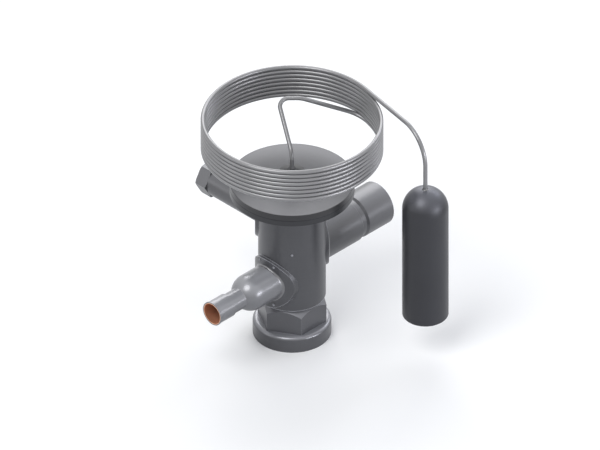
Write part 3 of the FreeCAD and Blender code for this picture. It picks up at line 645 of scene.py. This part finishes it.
@dataclass
class Port:
    """A round connector that is brazed into a saddle pad of the body."""

    name: str
    heading: Heading
    level: float
    tube_radius: float
    finish: MetalFinish
    nodes: tuple[str, ...]
    linings: tuple[str, ...] = ()
    saddle_radius: float = 20.2 * MM
    bead_height: float = 0.9 * MM
    lining_finish: MetalFinish = MetalFinish("copper", COPPER, roughness=0.42, metallic=0.7,
                                             axis=Axis.X, mottle=0.18)

    def saddle(self, lateral: float, _vertical: float) -> float:
        """Return how far out the pad lies, which only the distance sideways changes."""
        return math.sqrt(self.saddle_radius ** 2 - lateral ** 2)

    def build(self) -> None:
        """Dress the connector and its lining, and lay the bead round its foot."""
        dress_solids(self.finish, *self.nodes)
        if self.linings:
            dress_solids(self.lining_finish, *self.linings)
        BrazeBead(self.name + "_bead", self.heading, (0.0, 0.0, self.level), self.tube_radius,
                  self.bead_height, BrazeFinish(self.name + "_braze", (0.20, 0.20, 0.208)),
                  "body_steel", self.saddle).build()


@dataclass
class SealCap:
    """The round screw cap under the plug, with its sealing ring."""

    finish: MetalFinish = MetalFinish("cap_steel", (0.105, 0.106, 0.114), roughness=0.31,
                                      painted_top_light=1.9)
    gasket: MetalFinish = MetalFinish("gasket_copper", COPPER, roughness=0.4)

    def build(self) -> None:
        """Dress the cap and its ring."""
        dress_solids(self.finish, "seal_cap")
        dress_solids(self.gasket, "cap_gasket", "head_gasket")


def revolved_ring(name: str, outline: list[tuple[float, float]], segments: int
                  ) -> bpy.types.Object:
    """Turn a closed outline about the vertical axis.

    Args:
        name: the piece's name.
        outline: its points, as radius and level.
        segments: the number of steps round the axis.

    Returns:
        The new object.
    """
    points = [Vector((radius * math.cos(angle), radius * math.sin(angle), level))
              for angle in (2 * math.pi * step / segments for step in range(segments))
              for radius, level in outline]
    return mesh_object(name, points, ring_faces(segments, len(outline), closed=True))


@dataclass
class Head:
    """The flat round head with its hub, where the capillary is brazed in."""

    # The cover's paler colour is painted light for its lit top; the base's darker colour, which
    # the hub also takes, and the weld's are painted shade on the rim, and the cover's own rim is
    # darkened by painted shade too.
    cover: MetalFinish = MetalFinish("cover_steel_painted_light", (0.120, 0.121, 0.129), edge_wear_and_highlight=0.1,
                                     shaded_rim_from=33.7 * MM)
    base: MetalFinish = MetalFinish("head_steel", (0.040, 0.041, 0.045), edge_wear_and_highlight=0.1)
    diaphragm: MetalFinish = MetalFinish("diaphragm_steel", (0.5, 0.5, 0.52), roughness=0.25)
    weld: BrazeFinish = BrazeFinish("head_weld_painted_shade", (0.040, 0.041, 0.045), roughness=0.4)
    weld_depth: float = 0.9 * MM
    weld_reach: float = 0.3 * MM
    weld_drop: float = 0.1 * MM
    weld_crown: float = 0.06 * MM
    weld_crown_angles: range = range(-75, 90, 30)
    weld_segments: int = 192

    def weld_seam(self) -> None:
        """Close the joint between the shells with the weld that runs round the rim; its dark ring
        is painted shade that hides the joint's highlight.
        """
        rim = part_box("head_cover")[1].x
        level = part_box("head_cover")[0].z - self.weld_drop
        half = self.weld_reach
        crown = [(rim + self.weld_crown * math.cos(turn), level + half * math.sin(turn))
                 for turn in map(math.radians, self.weld_crown_angles)]
        inner = rim - self.weld_depth
        seam = revolved_ring("head_weld", [(inner, level - half), *crown, (inner, level + half)],
                             self.weld_segments)
        dress(seam, self.weld.material())
        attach(seam, "valve")
        LOG.info("head_weld: %d faces", len(seam.data.polygons))

    def build(self) -> None:
        """Dress the head's shells, its hub and the diaphragm, and lay the weld."""
        self.weld_seam()
        dress_solids(self.cover, "head_cover")
        dress_solids(self.base, "head_base", "capillary_hub")
        dress_solids(self.diaphragm, "diaphragm")


@dataclass
class SensingBulb:
    """The closed bulb with a domed top, where the capillary is brazed in."""

    finish: MetalFinish = MetalFinish("bulb_metal", (0.040, 0.041, 0.047), roughness=0.42,
                                      metallic=0.5, edge_wear_and_highlight=0.3, painted_top_light=2.0)
    axis_place: tuple[float, float] = (37.982 * MM, -64.814 * MM)
    dome_radius: float = 12.7 * MM
    tube_radius: float = 1.2 * MM
    bead_height: float = 0.9 * MM
    bead_overlap: float = 0.15 * MM
    bead: BrazeFinish = BrazeFinish("bulb_braze", (0.16, 0.16, 0.165))

    def dome(self, lateral: float, vertical: float) -> float:
        """Return the dome's height from its top, which is below zero away from the axis."""
        reach = self.dome_radius ** 2 - lateral ** 2 - vertical ** 2
        return math.sqrt(reach) - self.dome_radius

    def build(self) -> None:
        """Dress the bulb and lay the bead where the capillary goes in."""
        dress_solids(self.finish, "sensing_bulb")
        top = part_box("sensing_bulb")[1].z
        BrazeBead("bulb_bead", Heading.UP, (*self.axis_place, top), self.tube_radius,
                  self.bead_height, self.bead, "bulb_metal", self.dome, segments=40,
                  profile_steps=5, overlap=self.bead_overlap).build()


@dataclass
class Mechanism:
    """The moving and fixed pieces inside the body, which show only when it is opened."""

    ground: MetalFinish = MetalFinish("ground_steel", (0.5, 0.5, 0.52), roughness=0.22)
    brass: MetalFinish = MetalFinish("inner_brass", (0.62, 0.47, 0.20), roughness=0.30)
    cloth: WovenFinish = WovenFinish("strainer_bronze", (0.45, 0.34, 0.18))
    rubber: SealFinish = SealFinish("seal_rubber")

    def build(self) -> None:
        """Dress the pieces by their metal."""
        dress_solids(self.ground, "valve_cone", "orifice_seat", "push_rod", "superheat_spring",
                     "setting_spindle")
        dress_solids(self.brass, "spring_carrier", "rod_guide", "packing_gland", "thrust_pad")
        dress_solids(self.cloth, "inlet_strainer")
        dress_solids(self.rubber, "spindle_seal", "rod_packing")


@dataclass
class Capillary:
    """The formed tube from the head's hub, through the coil, to the sensing bulb."""

    finish: MetalFinish = MetalFinish("capillary_metal", (0.243, 0.243, 0.25), roughness=0.32,
                                      metallic=0.6, grain=Grain.DRAWN, edge_wear_and_highlight=0.0)
    radius: float = 1.2 * MM
    sides: int = 16
    coil_radius: float = 48.7 * MM
    coil_pitch: float = 2.58 * MM
    coil_turns: float = 7.989
    coil_start_angle: float = math.radians(-14.0)
    coil_start_rise: float = 20.4 * MM
    riser_rise: float = 17.3 * MM
    riser_bend: float = 8.0 * MM
    crest: tuple[float, float] = (12.8 * MM, 23.9 * MM)
    crest_rise: float = 36.0 * MM
    crest_bend: float = 4.8 * MM
    shoulder: tuple[float, float] = (22.0 * MM, 15.1 * MM)
    shoulder_bend: float = 12.0 * MM
    entry_run: float = 9.0 * MM
    entry_bend: float = 11.0 * MM
    tail_run: float = 57.2 * MM
    tail_bend: float = 19.0 * MM
    hub_insert: float = 5.0 * MM
    bulb_insert: float = 4.0 * MM
    points_per_turn: int = 120

    def helix(self) -> list[Vector]:
        """Wind the coil.

        Returns:
            The points of the eight turns, from the bottom up.
        """
        steps = round(self.coil_turns * self.points_per_turn)
        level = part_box("head_cover")[1].z + self.coil_start_rise
        points = []
        for step in range(steps + 1):
            turn = self.coil_turns * step / steps
            angle = self.coil_start_angle - 2 * math.pi * turn
            points.append(Vector((self.coil_radius * math.cos(angle),
                                  self.coil_radius * math.sin(angle),
                                  level + self.coil_pitch * turn)))
        return points

    def path(self) -> list[Vector]:
        """Lay the riser, the coil and the tail end to end.

        Returns:
            The points of the whole centre line, from the hub to the bulb.
        """
        coil = self.helix()
        head_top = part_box("head_cover")[1].z
        end_angle = self.coil_start_angle - 2 * math.pi * self.coil_turns
        backward = Vector((-math.sin(self.coil_start_angle), math.cos(self.coil_start_angle), 0.0))
        forward = Vector((math.sin(end_angle), -math.cos(end_angle), 0.0))
        riser = [
            Vector((0.0, 0.0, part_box("capillary_hub")[1].z - self.hub_insert)),
            Vector((0.0, 0.0, head_top + self.riser_rise)),
            Vector((*self.crest, head_top + self.crest_rise)),
            Vector((*self.shoulder, head_top + self.crest_rise)),
            coil[0] + backward * self.entry_run,
            coil[0],
        ]
        corner = coil[-1] + forward * self.tail_run
        bulb_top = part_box("sensing_bulb")[1].z - self.bulb_insert
        tail = [coil[-1], corner, Vector((corner.x, corner.y, bulb_top))]
        before = rounded_route(riser, [self.riser_bend, self.crest_bend, self.shoulder_bend,
                                       self.entry_bend])
        return before[:-1] + coil + rounded_route(tail, [self.tail_bend])[1:]

    def build(self) -> None:
        """Make the tube and let it stand for the plainer solid."""
        tube = tube_mesh("capillary", self.path(), self.radius, self.sides)
        dress(tube, self.finish.material())
        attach(tube, "valve")
        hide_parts("capillary_tube")
        LOG.info("capillary: %d faces", len(tube.data.polygons))


@dataclass(frozen=True)
class Lamp:
    """A soft lamp that looks at the valve, placed by its bearing and elevation in degrees."""

    name: str
    bearing: float
    elevation: float
    size: tuple[float, float]
    power: float
    distance: float = 1.2
    color: Color = (1.0, 1.0, 1.0)
    aim_level: float = 60 * MM

    def build(self) -> None:
        """Hang the lamp."""
        data = bpy.data.lights.new(self.name, "AREA")
        data.shape = "RECTANGLE"
        data.size, data.size_y = self.size
        data.energy = self.power
        data.color = self.color
        lamp = bpy.data.objects.new(self.name, data)
        bearing, rise = math.radians(self.bearing), math.radians(self.elevation)
        toward = Vector((math.cos(bearing) * math.cos(rise), math.sin(bearing) * math.cos(rise),
                         math.sin(rise)))
        lamp.location = Vector((0.0, 0.0, self.aim_level)) + toward * self.distance
        lamp.rotation_euler = toward.to_track_quat("Z", "Y").to_euler()
        bpy.context.scene.collection.objects.link(lamp)


@dataclass
class Studio:
    """Pale floor, plain room, soft lamps and the camera."""

    paper: Color = (0.96, 0.96, 0.96)
    paper_for_light: Color = (0.5, 0.5, 0.5)
    floor_reach: float = 4.0
    fade_start: float = 0.22
    fade_end: float = 0.50
    room: Color = (0.92, 0.95, 1.0)
    room_strength: float = 0.45
    aim: Place = (3.08 * MM, -3.08 * MM, 70.1 * MM)
    elevation: float = math.atan(1 / math.sqrt(2))
    view_width: float = 0.327
    distance: float = 1.2
    lamps: tuple[Lamp, ...] = (
        Lamp("back_softbox", 45.0, 36.0, (0.9, 0.9), 7.0),
        Lamp("key_softbox", 190.0, 54.0, (0.62, 0.62), 6.5),
        Lamp("right_strip", 283.0, 8.0, (0.7, 0.22), 6.5, color=(0.93, 0.94, 1.0)),
        Lamp("left_strip", 150.0, 14.0, (0.4, 0.4), 0.7, distance=1.0),
        Lamp("far_softbox", 0.0, 30.0, (0.5, 0.5), 2.5, color=(0.9, 0.92, 1.0)),
    )

    def camera(self) -> None:
        """Set the isometric camera, on the inlet's side and the bulb's."""
        data = bpy.data.cameras.new("camera")
        data.type = "ORTHO"
        data.ortho_scale = self.view_width
        data.clip_end = 10.0
        camera = bpy.data.objects.new("camera", data)
        level = math.cos(self.elevation) / math.sqrt(2)
        back = Vector((-level, -level, math.sin(self.elevation)))
        camera.location = Vector(self.aim) + back * self.distance
        camera.rotation_euler = (-back).to_track_quat("-Z", "Y").to_euler()
        bpy.context.scene.collection.objects.link(camera)
        bpy.context.scene.camera = camera

    def floor(self) -> None:
        """Lay the paper floor: white to the eye, plain white far off, half as pale to light."""
        reach = self.floor_reach
        corners = [Vector((x * reach, y * reach, 0.0))
                   for x, y in ((-1, -1), (1, -1), (1, 1), (-1, 1))]
        floor = mesh_object("floor", corners, [(0, 1, 2, 3)])
        made = bpy.data.materials.new("floor_paper")
        graph = Graph(made)
        seen = graph.seen_directly()
        color = graph.node("MixRGB", {
            "Fac": seen, "Color1": (*self.paper_for_light, 1.0), "Color2": (*self.paper, 1.0),
        }).outputs["Color"]
        place = graph.node("TexCoord").outputs["Object"]
        away = graph.node("VectorMath", {0: place}, operation="LENGTH").outputs["Value"]
        far = graph.node("MapRange", {"Value": away, "From Min": self.fade_start,
                                      "From Max": self.fade_end},
                         interpolation_type="SMOOTHSTEP").outputs["Result"]
        paper = graph.node("BsdfDiffuse", {"Color": color})
        white = graph.node("Emission", {"Color": (1.0, 1.0, 1.0, 1.0), "Strength": 1.0})
        mixed = graph.node("MixShader", {0: graph.math("MULTIPLY", seen, far),
                                         1: paper.outputs[0], 2: white.outputs[0]})
        graph.node("OutputMaterial", {"Surface": mixed.outputs[0]})
        dress(floor, made)

    def world(self) -> None:
        """Light the room evenly, and show white to the camera, to metal and to glass."""
        world = bpy.data.worlds.new("room")
        bpy.context.scene.world = world
        graph = Graph(world)
        plain = graph.node("Background", {"Color": (*self.room, 1.0),
                                          "Strength": self.room_strength})
        white = graph.node("Background", {"Color": (1.0, 1.0, 1.0, 1.0), "Strength": 1.0})
        mixed = graph.node("MixShader", {0: graph.seen_directly(), 1: plain.outputs[0],
                                         2: white.outputs[0]})
        graph.node("OutputWorld", {"Surface": mixed.outputs[0]})

    def build(self) -> None:
        """Build the whole studio."""
        self.camera()
        self.floor()
        self.world()
        for lamp in self.lamps:
            lamp.build()
        LOG.info("studio: %d lamps", len(self.lamps))


INLET_LEVEL = 41.6 * MM
OUTLET_LEVEL = 52.2 * MM
EQUALIZER_LEVEL = 71.0 * MM

PORTS = (
    Port("inlet", Heading.INLET, INLET_LEVEL, 10.35 * MM,
         MetalFinish("inlet_steel", PALE_STEEL, roughness=0.28, metallic=0.30, mottle=0.05,
                     axis=Axis.X, level=INLET_LEVEL, edge_wear_and_highlight=0.3, painted_top_light=0.9),
         ("inlet_connector",), ("inlet_copper_liner",)),
    Port("outlet", Heading.OUTLET, OUTLET_LEVEL, 12.8 * MM,
         MetalFinish("outlet_steel", (0.12, 0.121, 0.128), axis=Axis.X, level=OUTLET_LEVEL,
                     painted_top_light=0.6),
         ("outlet_connector",), ("outlet_copper_liner",)),
    Port("equalizer", Heading.EQUALIZER, EQUALIZER_LEVEL, 8.7 * MM,
         MetalFinish("stem_steel", (0.115, 0.116, 0.123), axis=Axis.Y, level=EQUALIZER_LEVEL,
                     painted_top_light=0.5),
         ("equalizer_stem", "equalizer_nut"), ("equalizer_bonnet",)),
)


def main() -> None:
    """Build the valve's looks in order."""
    logging.basicConfig(level=logging.INFO, format="%(message)s")
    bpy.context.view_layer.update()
    for assembly in (ValveBody(), *PORTS, SealCap(), Head(), SensingBulb(), Mechanism(),
                     Capillary(), Studio()):
        assembly.build()
    bpy.context.scene.view_settings.view_transform = "Standard"


if __name__ == "__main__":
    main()
